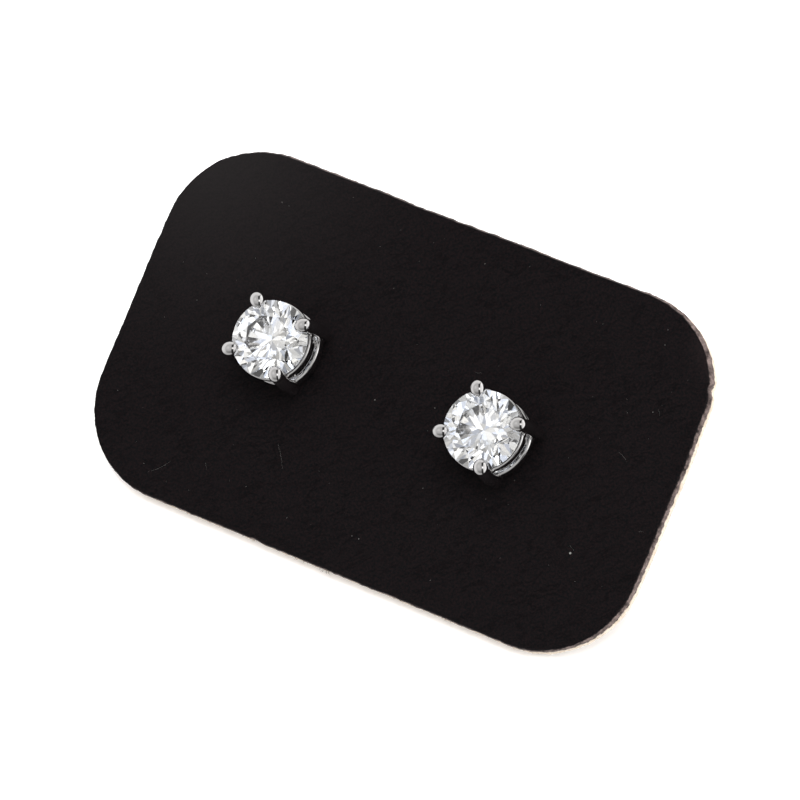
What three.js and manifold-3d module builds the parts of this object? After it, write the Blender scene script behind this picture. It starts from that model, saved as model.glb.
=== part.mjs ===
// A pair of four-prong stud earrings pinned through a black leather display card.
// Millimetres, +Z up. The card stands on its lower back edge and leans back on the
// tips of the two earring posts, so the surface that it stands on is z = 0.
import * as THREE from "three";
import { ConvexGeometry } from "three/addons/geometries/ConvexGeometry.js";
import { mergeVertices } from "three/addons/utils/BufferGeometryUtils.js";
import Module from "manifold-3d";

const wasm = await Module();
wasm.setup();

// Leather card. Its own frame has x along the long edge, y up the card and z out of its face.
const cardLength = 38.4;
const cardWidth = 23.6;
const cardThickness = 1.5;
const cardCornerRadius = 6.3;
const cardLean = THREE.MathUtils.degToRad(36.2);
const postHoleRadius = 0.5;

// Where each earring sits on the card, and how far its four prongs are turned.
const studs = [
  { side: "left", x: -8.0, y: 0.2, turn: THREE.MathUtils.degToRad(127.9) },
  { side: "right", x: 7.3, y: -0.15, turn: THREE.MathUtils.degToRad(115.8) },
];

// Round brilliant stone, with the usual proportions of its cut.
const stoneRadius = 2.5;
const stoneGirdleHeight = 3.55;
const girdleThickness = 0.12;
const tableShare = 0.57;
const crownAngle = THREE.MathUtils.degToRad(34.5);
const pavilionAngle = THREE.MathUtils.degToRad(40.75);
const starShare = 0.5;
const lowerHalfShare = 0.77;
const seatGrowth = 1.02;

// Prongs: round wire that stands on the leather, leans in over the stone and ends in a bead.
const prongCount = 4;
const wireRadius = 0.45;
const footRadius = 2.83;
const shoulderHeight = 2.7;
const beadRadius = 0.52;
const beadOffset = 2.49;
const beadHeight = 4.25;
const leatherGap = 0.05;
const footHeight = leatherGap + wireRadius;

// The gallery ring under the girdle and the base ring below it tie the prongs together.
const rings = [
  { inner: 2.2, outer: 2.55, bottom: 2.6, top: 3.15 },
  { inner: 2.16, outer: 2.52, bottom: 0.35, top: 1.3 },
];
const ringBevel = 0.06;

// Ear post, and the clutch pushed up it against the back of the card.
const postRadius = 0.4;
const clutchFlangeRadius = 2.7;
const clutchFlangeThickness = 0.5;
const clutchNeckRadius = 1.45;
const clutchNeckLength = 0.9;
const clutchBarrelRadius = 2.0;
const clutchLength = 4.6;
const clutchRounding = 0.5;
const clutchBoreRadius = 0.45;

// How finely the round shapes are faceted.
const wireSides = 12;
const wireSteps = 7;
const ringSides = 40;
const beadSides = 12;
const clutchSides = 20;
const cornerSegments = 6;

const leather = new THREE.MeshStandardMaterial({ color: 0x151413, roughness: 0.75, metalness: 0 });
const whiteMetal = new THREE.MeshStandardMaterial({ color: 0xd9d7d3, roughness: 0.12, metalness: 1 });
const clearStone = new THREE.MeshStandardMaterial({ color: 0xf2f4f8, roughness: 0, metalness: 0 });

// A closed geometry as a solid that can be joined and cut.
function toSolid(geometry) {
  const bare = geometry.index ? geometry.toNonIndexed() : geometry.clone();
  bare.deleteAttribute("normal");
  bare.deleteAttribute("uv");
  const merged = mergeVertices(bare, 1e-5);
  return new wasm.Manifold(new wasm.Mesh({
    numProp: 3,
    vertProperties: new Float32Array(merged.attributes.position.array),
    triVerts: new Uint32Array(merged.index.array),
  }));
}

// A solid back as a geometry.
function toGeometry(solid) {
  const mesh = solid.getMesh();
  const geometry = new THREE.BufferGeometry();
  geometry.setAttribute("position", new THREE.BufferAttribute(new Float32Array(mesh.vertProperties), 3));
  geometry.setIndex(new THREE.BufferAttribute(new Uint32Array(mesh.triVerts), 1));
  geometry.computeVertexNormals();
  return geometry;
}

// A lathe profile of [radius, height] pairs turned round the z axis.
function turned(profile, sides) {
  const points = profile.map(([radius, height]) => new THREE.Vector2(radius, height));
  return new THREE.LatheGeometry(points, sides).rotateX(Math.PI / 2);
}

function mesh(name, geometry, material, position) {
  const node = new THREE.Mesh(geometry, material);
  node.name = name;
  node.position.copy(position);
  return node;
}

// The card: a slab of leather with round corners and a hole for each post.
function cardGeometry() {
  const halfLength = cardLength / 2;
  const halfWidth = cardWidth / 2;
  const radius = cardCornerRadius;
  const outline = new THREE.Shape();
  outline.absarc(halfLength - radius, halfWidth - radius, radius, 0, Math.PI / 2);
  outline.absarc(radius - halfLength, halfWidth - radius, radius, Math.PI / 2, Math.PI);
  outline.absarc(radius - halfLength, radius - halfWidth, radius, Math.PI, 1.5 * Math.PI);
  outline.absarc(halfLength - radius, radius - halfWidth, radius, 1.5 * Math.PI, 2 * Math.PI);
  for (const stud of studs) {
    outline.holes.push(new THREE.Path().absarc(stud.x, stud.y, postHoleRadius, 0, 2 * Math.PI, true));
  }
  const slab = new THREE.ExtrudeGeometry(outline, {
    depth: cardThickness,
    bevelEnabled: false,
    curveSegments: cornerSegments,
  });
  return slab.translate(0, 0, -cardThickness);
}

// A round brilliant as the hull of its corners: table, crown, girdle, pavilion and culet.
// The girdle's middle is at the origin.
function brilliantGeometry(size) {
  const radius = stoneRadius * size;
  const halfGirdle = (girdleThickness * size) / 2;
  const tableRadius = tableShare * radius;
  const mainCount = 8;
  const step = (2 * Math.PI) / mainCount;
  const crownHeight = (reach) => halfGirdle + (radius - reach) * Math.tan(crownAngle);
  const culetDepth = halfGirdle + radius * Math.tan(pavilionAngle);
  const starReach = tableRadius + (radius - tableRadius) * starShare;
  const lowerReach = (1 - lowerHalfShare) * radius;
  const corners = [new THREE.Vector3(0, 0, -culetDepth)];
  const addCorner = (reach, angle, height) => {
    corners.push(new THREE.Vector3(reach * Math.cos(angle), reach * Math.sin(angle), height));
  };
  for (let k = 0; k < mainCount; k += 1) {
    const main = k * step;
    const between = main + step / 2;
    addCorner(tableRadius, main, crownHeight(tableRadius));
    addCorner(starReach, between, crownHeight(starReach * Math.cos(step / 2)));
    addCorner(lowerReach, between, lowerReach * Math.cos(step / 2) * Math.tan(pavilionAngle) - culetDepth);
    for (const angle of [main, between]) {
      addCorner(radius, angle, halfGirdle);
      addCorner(radius, angle, -halfGirdle);
    }
  }
  return new ConvexGeometry(corners);
}

// One prong's wire, from the foot on the leather up to the bead on the stone.
function prongWire() {
  const path = new THREE.CatmullRomCurve3([
    new THREE.Vector3(footRadius, 0, footHeight),
    new THREE.Vector3(footRadius, 0, (footHeight + shoulderHeight) / 2),
    new THREE.Vector3(footRadius, 0, shoulderHeight),
    new THREE.Vector3(beadOffset, 0, beadHeight),
  ], false, "centripetal");
  const section = new THREE.Shape().absarc(0, 0, wireRadius, 0, 2 * Math.PI);
  return new THREE.ExtrudeGeometry(section, {
    extrudePath: path,
    steps: wireSteps,
    curveSegments: wireSides / 2,
    bevelEnabled: false,
  });
}

// A prong as one solid: its wire, the round foot, the bead and half of the bar to the far prong.
function prongSolid() {
  const foot = new THREE.SphereGeometry(wireRadius, wireSides, wireSides / 2);
  const bead = new THREE.SphereGeometry(beadRadius, beadSides, beadSides / 2);
  const bar = new THREE.CylinderGeometry(wireRadius, wireRadius, footRadius, wireSides);
  return toSolid(prongWire())
    .add(toSolid(foot.translate(footRadius, 0, footHeight)))
    .add(toSolid(bead.translate(beadOffset, 0, beadHeight)))
    .add(toSolid(bar.rotateZ(Math.PI / 2).translate(footRadius / 2, 0, footHeight)));
}

// A flat-topped ring with its outer edges eased.
function ringSolid(ring) {
  return toSolid(turned([
    [ring.inner, ring.bottom],
    [ring.outer - ringBevel, ring.bottom],
    [ring.outer, ring.bottom + ringBevel],
    [ring.outer, ring.top - ringBevel],
    [ring.outer - ringBevel, ring.top],
    [ring.inner, ring.top],
    [ring.inner, ring.bottom],
  ], ringSides));
}

// The post runs from the crossed bars down through the card, and its round tip ends on
// the surface that the card stands on.
function postSolid(stud) {
  const tipCentre = postTipReach(stud);
  const rounding = Array.from({ length: wireSides / 4 }, (_, k) => {
    const angle = (k * 2 * Math.PI) / wireSides;
    return [postRadius * Math.sin(angle), -tipCentre - postRadius * Math.cos(angle)];
  });
  const shank = [[postRadius, -tipCentre], [postRadius, footHeight], [0, footHeight]];
  return toSolid(turned([...rounding, ...shank], wireSides));
}

// Depth below the card's face of the centre of the post's round tip, which lies one post
// radius above the surface: that surface falls away from the card's lower back edge at the
// angle of the lean.
function postTipReach(stud) {
  const alongCard = stud.y + cardWidth / 2;
  return cardThickness + alongCard * Math.tan(cardLean) - postRadius / Math.cos(cardLean);
}

// Prongs, rings and post soldered into one solid, with the stone's seat cut into the prongs.
function settingGeometry(stud) {
  let setting = postSolid(stud);
  for (const ring of rings) {
    setting = setting.add(ringSolid(ring));
  }
  for (let k = 0; k < prongCount; k += 1) {
    const turn = THREE.MathUtils.radToDeg(stud.turn) + (k * 360) / prongCount;
    setting = setting.add(prongSolid().rotate([0, 0, turn]));
  }
  const seat = brilliantGeometry(seatGrowth).rotateZ(stud.turn).translate(0, 0, stoneGirdleHeight);
  return toGeometry(setting.subtract(toSolid(seat)));
}

// A plain round clutch: flange against the leather, neck, and a barrel with a rounded end.
// Its flange face is at z = 0 and it reaches down the post.
function clutchGeometry() {
  const neckEnd = clutchFlangeThickness + clutchNeckLength;
  const steps = 3;
  const rounding = Array.from({ length: steps + 1 }, (_, k) => {
    const angle = (k * Math.PI) / 2 / steps;
    return [
      clutchBarrelRadius - clutchRounding * (1 - Math.sin(angle)),
      -clutchLength + clutchRounding * (1 - Math.cos(angle)),
    ];
  });
  return turned([
    [clutchBoreRadius, -clutchLength],
    ...rounding,
    [clutchBarrelRadius, -neckEnd],
    [clutchNeckRadius, -neckEnd],
    [clutchNeckRadius, -clutchFlangeThickness],
    [clutchFlangeRadius, -clutchFlangeThickness],
    [clutchFlangeRadius, 0],
    [clutchBoreRadius, 0],
    [clutchBoreRadius, -clutchLength],
  ], clutchSides);
}

// Everything is placed on the card, and the card is then leaned back and stood on the surface.
const leaningCard = new THREE.Group();
leaningCard.add(mesh("display_card", cardGeometry(), leather, new THREE.Vector3()));
for (const stud of studs) {
  const place = new THREE.Vector3(stud.x, stud.y, 0);
  const stone = brilliantGeometry(1).rotateZ(stud.turn);
  const behindCard = place.clone().setZ(-cardThickness - leatherGap);
  leaningCard.add(
    mesh(`setting_${stud.side}`, settingGeometry(stud), whiteMetal, place),
    mesh(`stone_${stud.side}`, stone, clearStone, place.clone().setZ(stoneGirdleHeight)),
    mesh(`clutch_${stud.side}`, clutchGeometry(), whiteMetal, behindCard),
  );
}
const standingHeight = (cardWidth / 2) * Math.sin(cardLean) + cardThickness * Math.cos(cardLean);
const middleOfDepth = (cardThickness / 2) * Math.sin(cardLean);
leaningCard.rotation.x = cardLean;
leaningCard.position.set(0, -middleOfDepth, standingHeight);

const group = new THREE.Group();
group.add(leaningCard);

export default group;
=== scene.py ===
# Looks for a pair of prong-set stud earrings pinned through a black leather display card.
# Each piece is shaped in the card's own frame (x along the card, y up it, z out of its face)
# and then leaned back onto the ear posts, where the CAD frame has it.
import math
import random

import bmesh
import bpy
from mathutils import Matrix, Vector, noise


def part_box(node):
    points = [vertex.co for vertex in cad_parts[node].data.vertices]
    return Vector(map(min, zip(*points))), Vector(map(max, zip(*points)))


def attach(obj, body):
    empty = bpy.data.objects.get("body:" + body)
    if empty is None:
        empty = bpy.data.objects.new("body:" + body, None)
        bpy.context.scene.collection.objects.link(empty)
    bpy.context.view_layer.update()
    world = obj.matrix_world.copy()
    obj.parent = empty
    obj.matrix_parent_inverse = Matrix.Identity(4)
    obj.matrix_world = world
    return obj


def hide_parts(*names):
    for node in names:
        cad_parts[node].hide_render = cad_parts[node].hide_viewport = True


mm = 0.001

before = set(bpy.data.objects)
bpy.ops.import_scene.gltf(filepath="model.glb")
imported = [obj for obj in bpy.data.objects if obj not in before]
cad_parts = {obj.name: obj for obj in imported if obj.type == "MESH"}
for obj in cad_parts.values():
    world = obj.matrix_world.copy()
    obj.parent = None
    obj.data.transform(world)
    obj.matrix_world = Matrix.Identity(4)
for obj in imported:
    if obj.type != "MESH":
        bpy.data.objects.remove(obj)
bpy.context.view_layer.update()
print("frame loaded")

# How the card stands
stance = {
    "lean": math.radians(36.2),
    "thickness": 1.5 * mm,
}


def cardSize():
    low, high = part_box("display_card")
    rise = high.z - low.z
    width = (rise - stance["thickness"] * math.cos(stance["lean"])) / math.sin(stance["lean"])
    return high.x - low.x, width


cardLength, cardWidth = cardSize()
standHeight = cardWidth / 2 * math.sin(stance["lean"]) + stance["thickness"] * math.cos(stance["lean"])
depthShift = -stance["thickness"] / 2 * math.sin(stance["lean"])
cardPlace = Vector((0, depthShift, standHeight))
toStand = Matrix.Translation(cardPlace) @ Matrix.Rotation(stance["lean"], 4, "X")

studs = [
    {"side": "left", "x": -8.0 * mm, "y": 0.2 * mm, "turn": math.radians(127.9)},
    {"side": "right", "x": 7.3 * mm, "y": -0.15 * mm, "turn": math.radians(115.8)},
]


def studMatrix(stud):
    return Matrix.Translation((stud["x"], stud["y"], 0)) @ Matrix.Rotation(stud["turn"], 4, "Z")


# Mesh helpers

def finishMesh(bm, name, matrix, smoothAngle=None):
    bmesh.ops.transform(bm, matrix=matrix, verts=bm.verts)
    mesh = bpy.data.meshes.new(name)
    bm.to_mesh(mesh)
    bm.free()
    if smoothAngle is not None:
        mesh.shade_smooth()
        mesh.set_sharp_from_angle(angle=smoothAngle)
    piece = bpy.data.objects.new(name, mesh)
    bpy.context.scene.collection.objects.link(piece)
    return piece


def sweep(bm, stations, radius, sides):
    # stations: (point, direction, share of the radius); both ends are closed
    loops = []
    for point, direction, share in stations:
        turn = direction.to_track_quat("Z", "Y").to_matrix().to_4x4()
        made = bmesh.ops.create_circle(
            bm, segments=sides, radius=radius * share, matrix=Matrix.Translation(point) @ turn)
        loops.append(list({e for v in made["verts"] for e in v.link_edges}))
    for before, after in zip(loops, loops[1:]):
        bmesh.ops.bridge_loops(bm, edges=before + after)
    for loop in (loops[0], loops[-1]):
        bmesh.ops.contextual_create(bm, geom=loop)
    bmesh.ops.recalc_face_normals(bm, faces=bm.faces)


def spinProfile(bm, profile, steps, closed=False):
    # profile: (radius, height) pairs turned round the z axis
    verts = [bm.verts.new((r, 0, h)) for r, h in profile]
    edges = [bm.edges.new(pair) for pair in zip(verts, verts[1:])]
    if closed:
        edges.append(bm.edges.new((verts[-1], verts[0])))
    bmesh.ops.spin(
        bm, geom=verts + edges, cent=(0, 0, 0), axis=(0, 0, 1), angle=2 * math.pi, steps=steps,
        use_merge=True)
    bmesh.ops.remove_doubles(bm, verts=bm.verts, dist=0.002 * mm)
    bmesh.ops.recalc_face_normals(bm, faces=bm.faces)


def boolean(piece, other, operation):
    modifier = piece.modifiers.new("cut", "BOOLEAN")
    modifier.operation = operation
    modifier.solver = "MANIFOLD"
    modifier.object = other
    bpy.context.view_layer.update()
    result = bpy.data.meshes.new_from_object(
        piece.evaluated_get(bpy.context.evaluated_depsgraph_get()))
    piece.modifiers.clear()
    piece.data = result
    bpy.data.objects.remove(other)


def ride(piece, slot, *replaced):
    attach(piece, "root")
    if replaced:
        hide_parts(*replaced)


# Shader helpers

def group(name, inputs, outputs):
    tree = bpy.data.node_groups.new(name, "ShaderNodeTree")
    for label, kind, value in inputs:
        socket = tree.interface.new_socket(name=label, in_out="INPUT", socket_type=kind)
        if value is not None:
            socket.default_value = value
    for label, kind in outputs:
        tree.interface.new_socket(name=label, in_out="OUTPUT", socket_type=kind)
    start = tree.nodes.new("NodeGroupInput")
    end = tree.nodes.new("NodeGroupOutput")
    return tree, start, end


def node(tree, kind, settings=None, **values):
    made = tree.nodes.new(kind)
    for key, value in (settings or {}).items():
        setattr(made, key, value)
    for label, value in values.items():
        made.inputs[label.replace("_", " ")].default_value = value
    return made


def link(tree, out, socket):
    tree.links.new(out, socket)


def feed(tree, value, socket):
    # a number or a colour is set, another node's output is linked
    if isinstance(value, (int, float, tuple)):
        socket.default_value = value
    else:
        link(tree, value, socket)


def mathNode(tree, operation, first, second=0.0, clamp=False):
    made = node(tree, "ShaderNodeMath", {"operation": operation, "use_clamp": clamp})
    feed(tree, first, made.inputs[0])
    feed(tree, second, made.inputs[1])
    return made.outputs[0]


def mixColor(tree, share, first, second):
    made = node(tree, "ShaderNodeMix", {"data_type": "RGBA"})
    for k, value in ((0, share), (6, first), (7, second)):
        feed(tree, value, made.inputs[k])
    return made.outputs[2]


def mixValue(tree, share, first, second):
    made = node(tree, "ShaderNodeMix", {"data_type": "FLOAT"})
    for k, value in ((0, share), (2, first), (3, second)):
        feed(tree, value, made.inputs[k])
    return made.outputs[0]


def rangeNode(tree, value, low, high, start=0.0, end=1.0, kind="LINEAR"):
    made = node(tree, "ShaderNodeMapRange", {"interpolation_type": kind},
                From_Min=low, From_Max=high, To_Min=start, To_Max=end)
    link(tree, value, made.inputs["Value"])
    return made.outputs["Result"]


def smoothRange(tree, value, low, high, start=0.0, end=1.0):
    return rangeNode(tree, value, low, high, start, end, "SMOOTHSTEP")


def noiseNode(tree, vector, scale, detail=2.0, rough=0.5, distortion=0.0):
    made = node(tree, "ShaderNodeTexNoise", Detail=detail, Roughness=rough, Distortion=distortion)
    link(tree, vector, made.inputs["Vector"])
    feed(tree, scale, made.inputs["Scale"])
    return made.outputs["Fac"]


def bumpNode(tree, height, strength, distance, shader):
    bump = node(tree, "ShaderNodeBump", Strength=strength, Distance=distance)
    link(tree, height, bump.inputs["Height"])
    link(tree, bump.outputs["Normal"], shader.inputs["Normal"])


def cardCoords(tree):
    # Object coordinates brought back to the flat card's own frame
    coords = node(tree, "ShaderNodeTexCoord")
    place = node(tree, "ShaderNodeMapping", {"vector_type": "TEXTURE"},
                 Location=cardPlace, Rotation=(stance["lean"], 0, 0))
    link(tree, coords.outputs["Object"], place.inputs["Vector"])
    return place.outputs["Vector"]


def newMaterial(name, **settings):
    material = bpy.data.materials.new(name)
    material.use_nodes = True
    tree = material.node_tree
    shader = tree.nodes["Principled BSDF"]
    for label, value in settings.items():
        shader.inputs[label.replace("_", " ")].default_value = value
    return material, tree, shader


# Leather grain: long soft creases that run one way over fine mottling, for the face
leatherGrain = {
    "heading": math.radians(44),
    "stretch": 3.0,
    "creaseWidth": 0.045,
    "patchScale": 420.0,
    "patches": (0.15, 0.8),  # how deep the creases are where they are faintest and deepest
    "mottleHeight": 0.4,
    "creaseHeight": 0.5,
}


def grainGroup():
    made = leatherGrain
    tree, start, end = group(
        "leatherGrain",
        [("Vector", "NodeSocketVector", None), ("Crease Scale", "NodeSocketFloat", 1500.0),
         ("Mottle Scale", "NodeSocketFloat", 6500.0)],
        [("Height", "NodeSocketFloat"), ("Crease", "NodeSocketFloat"), ("Mottle", "NodeSocketFloat")])
    vector = start.outputs["Vector"]
    run = node(tree, "ShaderNodeMapping", {"vector_type": "TEXTURE"},
               Rotation=(0, 0, made["heading"]), Scale=(made["stretch"], 1, 1))
    link(tree, vector, run.inputs["Vector"])
    waves = noiseNode(tree, run.outputs["Vector"], start.outputs["Crease Scale"], 3.0, 0.6, 0.5)
    away = mathNode(tree, "ABSOLUTE", mathNode(tree, "SUBTRACT", waves, 0.5))
    line = rangeNode(tree, away, 0.0, made["creaseWidth"], 1.0, 0.0)
    patches = rangeNode(tree, noiseNode(tree, vector, made["patchScale"]), 0.25, 0.6, *made["patches"])
    crease = mathNode(tree, "MULTIPLY", line, patches)
    mottle = noiseNode(tree, vector, start.outputs["Mottle Scale"], 4.0, 0.75)
    raised = mathNode(tree, "MULTIPLY", mottle, made["mottleHeight"])
    sunk = mathNode(tree, "MULTIPLY", crease, made["creaseHeight"])
    height = mathNode(tree, "SUBTRACT", raised, sunk)
    link(tree, height, end.inputs["Height"])
    link(tree, crease, end.inputs["Crease"])
    link(tree, mottle, end.inputs["Mottle"])
    return tree


def dustGroup():
    # sparse pale specks that lie on the leather
    tree, start, end = group(
        "dustSpecks",
        [("Vector", "NodeSocketVector", None), ("Spacing", "NodeSocketFloat", 620.0),
         ("Amount", "NodeSocketFloat", 0.05)],
        [("Mask", "NodeSocketFloat")])
    spots = node(tree, "ShaderNodeTexVoronoi", {"feature": "F1"}, Randomness=1.0)
    link(tree, start.outputs["Vector"], spots.inputs["Vector"])
    link(tree, start.outputs["Spacing"], spots.inputs["Scale"])
    pick = node(tree, "ShaderNodeSeparateColor")
    link(tree, spots.outputs["Color"], pick.inputs[0])
    chosen = mathNode(tree, "LESS_THAN", pick.outputs[0], start.outputs["Amount"])
    size = rangeNode(tree, pick.outputs[1], 0.0, 1.0, 0.01, 0.05)
    near = mathNode(tree, "LESS_THAN", spots.outputs["Distance"], size)
    mask = mathNode(tree, "MULTIPLY", chosen, near)
    link(tree, mask, end.inputs["Mask"])
    return tree


grain = grainGroup()
dust = dustGroup()


def placeGroup(tree, made, vector, **values):
    placed = node(tree, "ShaderNodeGroup")
    placed.node_tree = made
    link(tree, vector, placed.inputs["Vector"])
    for label, value in values.items():
        placed.inputs[label.replace("_", " ")].default_value = value
    return placed


# Black leather with a mauve-grey cut edge, a glue line and a pale backing
leatherLook = {
    "redBlack": (0.0078, 0.0049, 0.0053, 1),
    "blueBlack": (0.0021, 0.0026, 0.0030, 1),
    "creaseBlack": (0.0012, 0.0011, 0.0013, 1),
    "creaseShade": 0.6,
    "creaseScale": 1500.0,
    "mottleScale": 6500.0,
    # painted sheen over two corners: a lighter tone stands in for light glancing off the leather; where it is
    # thickest, how far it reaches and its tone
    "paintedSheen": [
        {"x": -19.2 * mm, "y": 11.8 * mm, "near": 2 * mm, "far": 20 * mm,
         "tone": (0.0132, 0.0118, 0.0120, 1)},
        {"x": 19.2 * mm, "y": 10.6 * mm, "near": 0.4 * mm, "far": 3.6 * mm,
         "tone": (0.022, 0.0155, 0.0155, 1)},
    ],
    "dust": (0.18, 0.18, 0.17, 1),
    "dustSpacing": 620.0,
    "dustAmount": 0.05,
    # the layers of the cut edge with their streaks, and how deep each one starts
    "cutGrey": (0.19, 0.145, 0.135, 1),
    "cutStreak": (0.022, 0.016, 0.015, 1),
    "glue": (0.012, 0.008, 0.007, 1),
    "backing": (0.62, 0.54, 0.455, 1),
    "backingStreak": (0.40, 0.31, 0.22, 1),
    "suede": (0.44, 0.37, 0.29, 1),
    "suedeStreak": (0.30, 0.25, 0.19, 1),
    "blackDepth": 0.11 * mm,
    "greyDepth": 0.47 * mm,
    "glueDepth": 0.66 * mm,
    "suedeDepth": 1.38 * mm,
    "soft": 0.03 * mm,  # how soft the borders between layers are
    "wander": (-0.10 * mm, 0.015 * mm),  # how far they stray up and down
    "raggedScale": 2600.0,
    "streakScale": 2200.0,
    "fibreScale": 7000.0,
    "bump": 0.55,
    "bumpHeight": 0.03 * mm,
}


def leatherMaterial():
    look = leatherLook
    material, tree, shader = newMaterial(
        "blackLeather", Roughness=0.8, Specular_IOR_Level=0.05, Sheen_Weight=0.09, Sheen_Roughness=0.4)
    place = cardCoords(tree)
    grained = placeGroup(tree, grain, place, Crease_Scale=look["creaseScale"],
                         Mottle_Scale=look["mottleScale"])
    specks = placeGroup(tree, dust, place, Spacing=look["dustSpacing"], Amount=look["dustAmount"])
    split = node(tree, "ShaderNodeSeparateXYZ")
    link(tree, place, split.inputs[0])
    ragged = noiseNode(tree, place, look["raggedScale"], 4.0, 0.65)
    streaks = noiseNode(tree, place, look["streakScale"], 4.0, 0.7)
    depth = mathNode(tree, "SUBTRACT", rangeNode(tree, ragged, 0.3, 0.7, *look["wander"]),
                     split.outputs["Z"])
    mottle = rangeNode(tree, grained.outputs["Mottle"], 0.40, 0.60)
    face = mixColor(tree, mottle, look["blueBlack"], look["redBlack"])
    shade = mathNode(tree, "MULTIPLY", grained.outputs["Crease"], look["creaseShade"])
    face = mixColor(tree, shade, face, look["creaseBlack"])
    # painted sheen: each corner's lighter tone is mixed into the face colour by distance, in place of light
    # glancing off the leather
    for paintedSheen in look["paintedSheen"]:
        away = node(tree, "ShaderNodeVectorMath", {"operation": "DISTANCE"})
        link(tree, place, away.inputs[0])
        away.inputs[1].default_value = (paintedSheen["x"], paintedSheen["y"], 0)
        near = rangeNode(tree, away.outputs["Value"], paintedSheen["near"], paintedSheen["far"], 1.0, 0.0)
        thick = mathNode(tree, "MULTIPLY", mathNode(tree, "MULTIPLY", near, near),
                         rangeNode(tree, grained.outputs["Mottle"], 0.3, 0.7, 0.8, 1.1))
        face = mixColor(tree, thick, face, paintedSheen["tone"])
    face = mixColor(tree, specks.outputs["Mask"], face, look["dust"])
    grey = mixColor(tree, rangeNode(tree, streaks, 0.35, 0.65), look["cutGrey"], look["cutStreak"])
    backing = mixColor(tree, rangeNode(tree, streaks, 0.45, 0.75), look["backing"], look["backingStreak"])
    suede = mixColor(tree, rangeNode(tree, ragged, 0.35, 0.65), look["suede"], look["suedeStreak"])
    soft = look["soft"]
    color = face
    for start, tone in ((look["blackDepth"], grey), (look["greyDepth"], look["glue"]),
                        (look["glueDepth"], backing), (look["suedeDepth"], suede)):
        color = mixColor(tree, rangeNode(tree, depth, start - soft, start + soft), color, tone)
    link(tree, color, shader.inputs["Base Color"])
    roughness = rangeNode(tree, grained.outputs["Crease"], 0.0, 1.0, 0.72, 0.9)
    link(tree, roughness, shader.inputs["Roughness"])
    torn = noiseNode(tree, place, look["fibreScale"], 4.0, 0.7)
    onEdge = rangeNode(tree, depth, look["blackDepth"] - soft, look["blackDepth"] + soft)
    bumpNode(tree, mixValue(tree, onEdge, grained.outputs["Height"], torn), look["bump"],
             look["bumpHeight"], shader)
    return material


# The card's shape: a fine grid mapped onto the round-cornered outline
leatherCard = {
    "cornerRadius": 6.3 * mm,
    "columns": 228,
    "rows": 140,
    "holeRadius": 0.5 * mm,
    "rimInset": 0.16 * mm,
    # outward reach and depth of each loop down the cut edge, from the face to the back
    "edge": [
        {"out": -0.09 * mm, "deep": 0.012 * mm, "fray": 0.1},
        {"out": -0.04 * mm, "deep": 0.05 * mm, "fray": 0.3},
        {"out": 0.01 * mm, "deep": 0.14 * mm, "fray": 0.6},
        {"out": 0.04 * mm, "deep": 0.33 * mm, "fray": 0.8},
        {"out": 0.03 * mm, "deep": 0.5 * mm, "fray": 0.7},
        {"out": -0.05 * mm, "deep": 0.57 * mm, "fray": 0.4},
        {"out": -0.03 * mm, "deep": 0.66 * mm, "fray": 0.5},
        {"out": 0.04 * mm, "deep": 0.76 * mm, "fray": 1.0},
        {"out": 0.05 * mm, "deep": 1.0 * mm, "fray": 1.1},
        {"out": 0.02 * mm, "deep": 1.3 * mm, "fray": 1.0},
        {"out": -0.06 * mm, "deep": 1.46 * mm, "fray": 0.6},
    ],
    # places where the outline is worn inward
    "worn": [
        {"x": 19.2 * mm, "y": 5.4 * mm, "in": 0.13 * mm, "spread": 1.7 * mm},
        {"x": 18.95 * mm, "y": 7.6 * mm, "in": 0.16 * mm, "spread": 0.28 * mm},
        {"x": -5.15 * mm, "y": -11.8 * mm, "in": 0.08 * mm, "spread": 0.3 * mm},
        {"x": -3.8 * mm, "y": 11.8 * mm, "in": 0.06 * mm, "spread": 1.2 * mm},
    ],
    # along the top, the right and the corner between, the black layer is drawn back (first value)
    # and the lower ones reach out (second value)
    "flare": {"from": 0.2 * mm, "ease": 0.1 * mm, "top": (-0.045 * mm, 0.02 * mm),
              "right": (-0.04 * mm, 0.06 * mm), "corner": (0.01 * mm, 0.10 * mm),
              "x": 17.6 * mm, "y": 9.6 * mm, "spread": 4.0 * mm},
    "wobble": 0.05 * mm,
    "wobbleZone": 2 * mm,
    "fray": 0.06 * mm,
    "fuzzShare": 0.6,
    "relief": 0.02 * mm,
    "rimZone": 0.6 * mm,
    "rimRelief": 0.3,
    "nap": 0.03 * mm,
    "dent": 0.05 * mm,
    "dentSpread": 3.2 * mm,
    # noise scales per millimetre, and how fast the fray and fuzz change down the edge
    "wobbleScale": 0.22,
    "frayScale": 2.3,
    "frayDown": 1.7,
    "fuzzScale": 7.0,
    "fuzzDown": 6,
    "napScale": 3.1,
}


def cornerReach(x, y):
    # how far a place is into a corner's square, along and up the card
    radius = leatherCard["cornerRadius"]
    return (max(abs(x) - (cardLength / 2 - radius), 0), max(abs(y) - (cardWidth / 2 - radius), 0))


def cornerMap(x, y):
    # a square corner of the grid becomes a quarter round; the rest stays where it is
    radius = leatherCard["cornerRadius"]
    p, q = cornerReach(x, y)
    if p <= 0 or q <= 0:
        return x, y
    across = p * math.sqrt(1 - q * q / (2 * radius * radius))
    along = q * math.sqrt(1 - p * p / (2 * radius * radius))
    return (math.copysign(abs(x) - p + across, x), math.copysign(abs(y) - q + along, y))


def outwardAt(x, y):
    p, q = cornerReach(x, y)
    if p > 0 and q > 0:
        return Vector((math.copysign(p, x), math.copysign(q, y), 0)).normalized()
    if cardLength / 2 - abs(x) < cardWidth / 2 - abs(y):
        return Vector((math.copysign(1, x), 0, 0))
    return Vector((0, math.copysign(1, y), 0))


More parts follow.
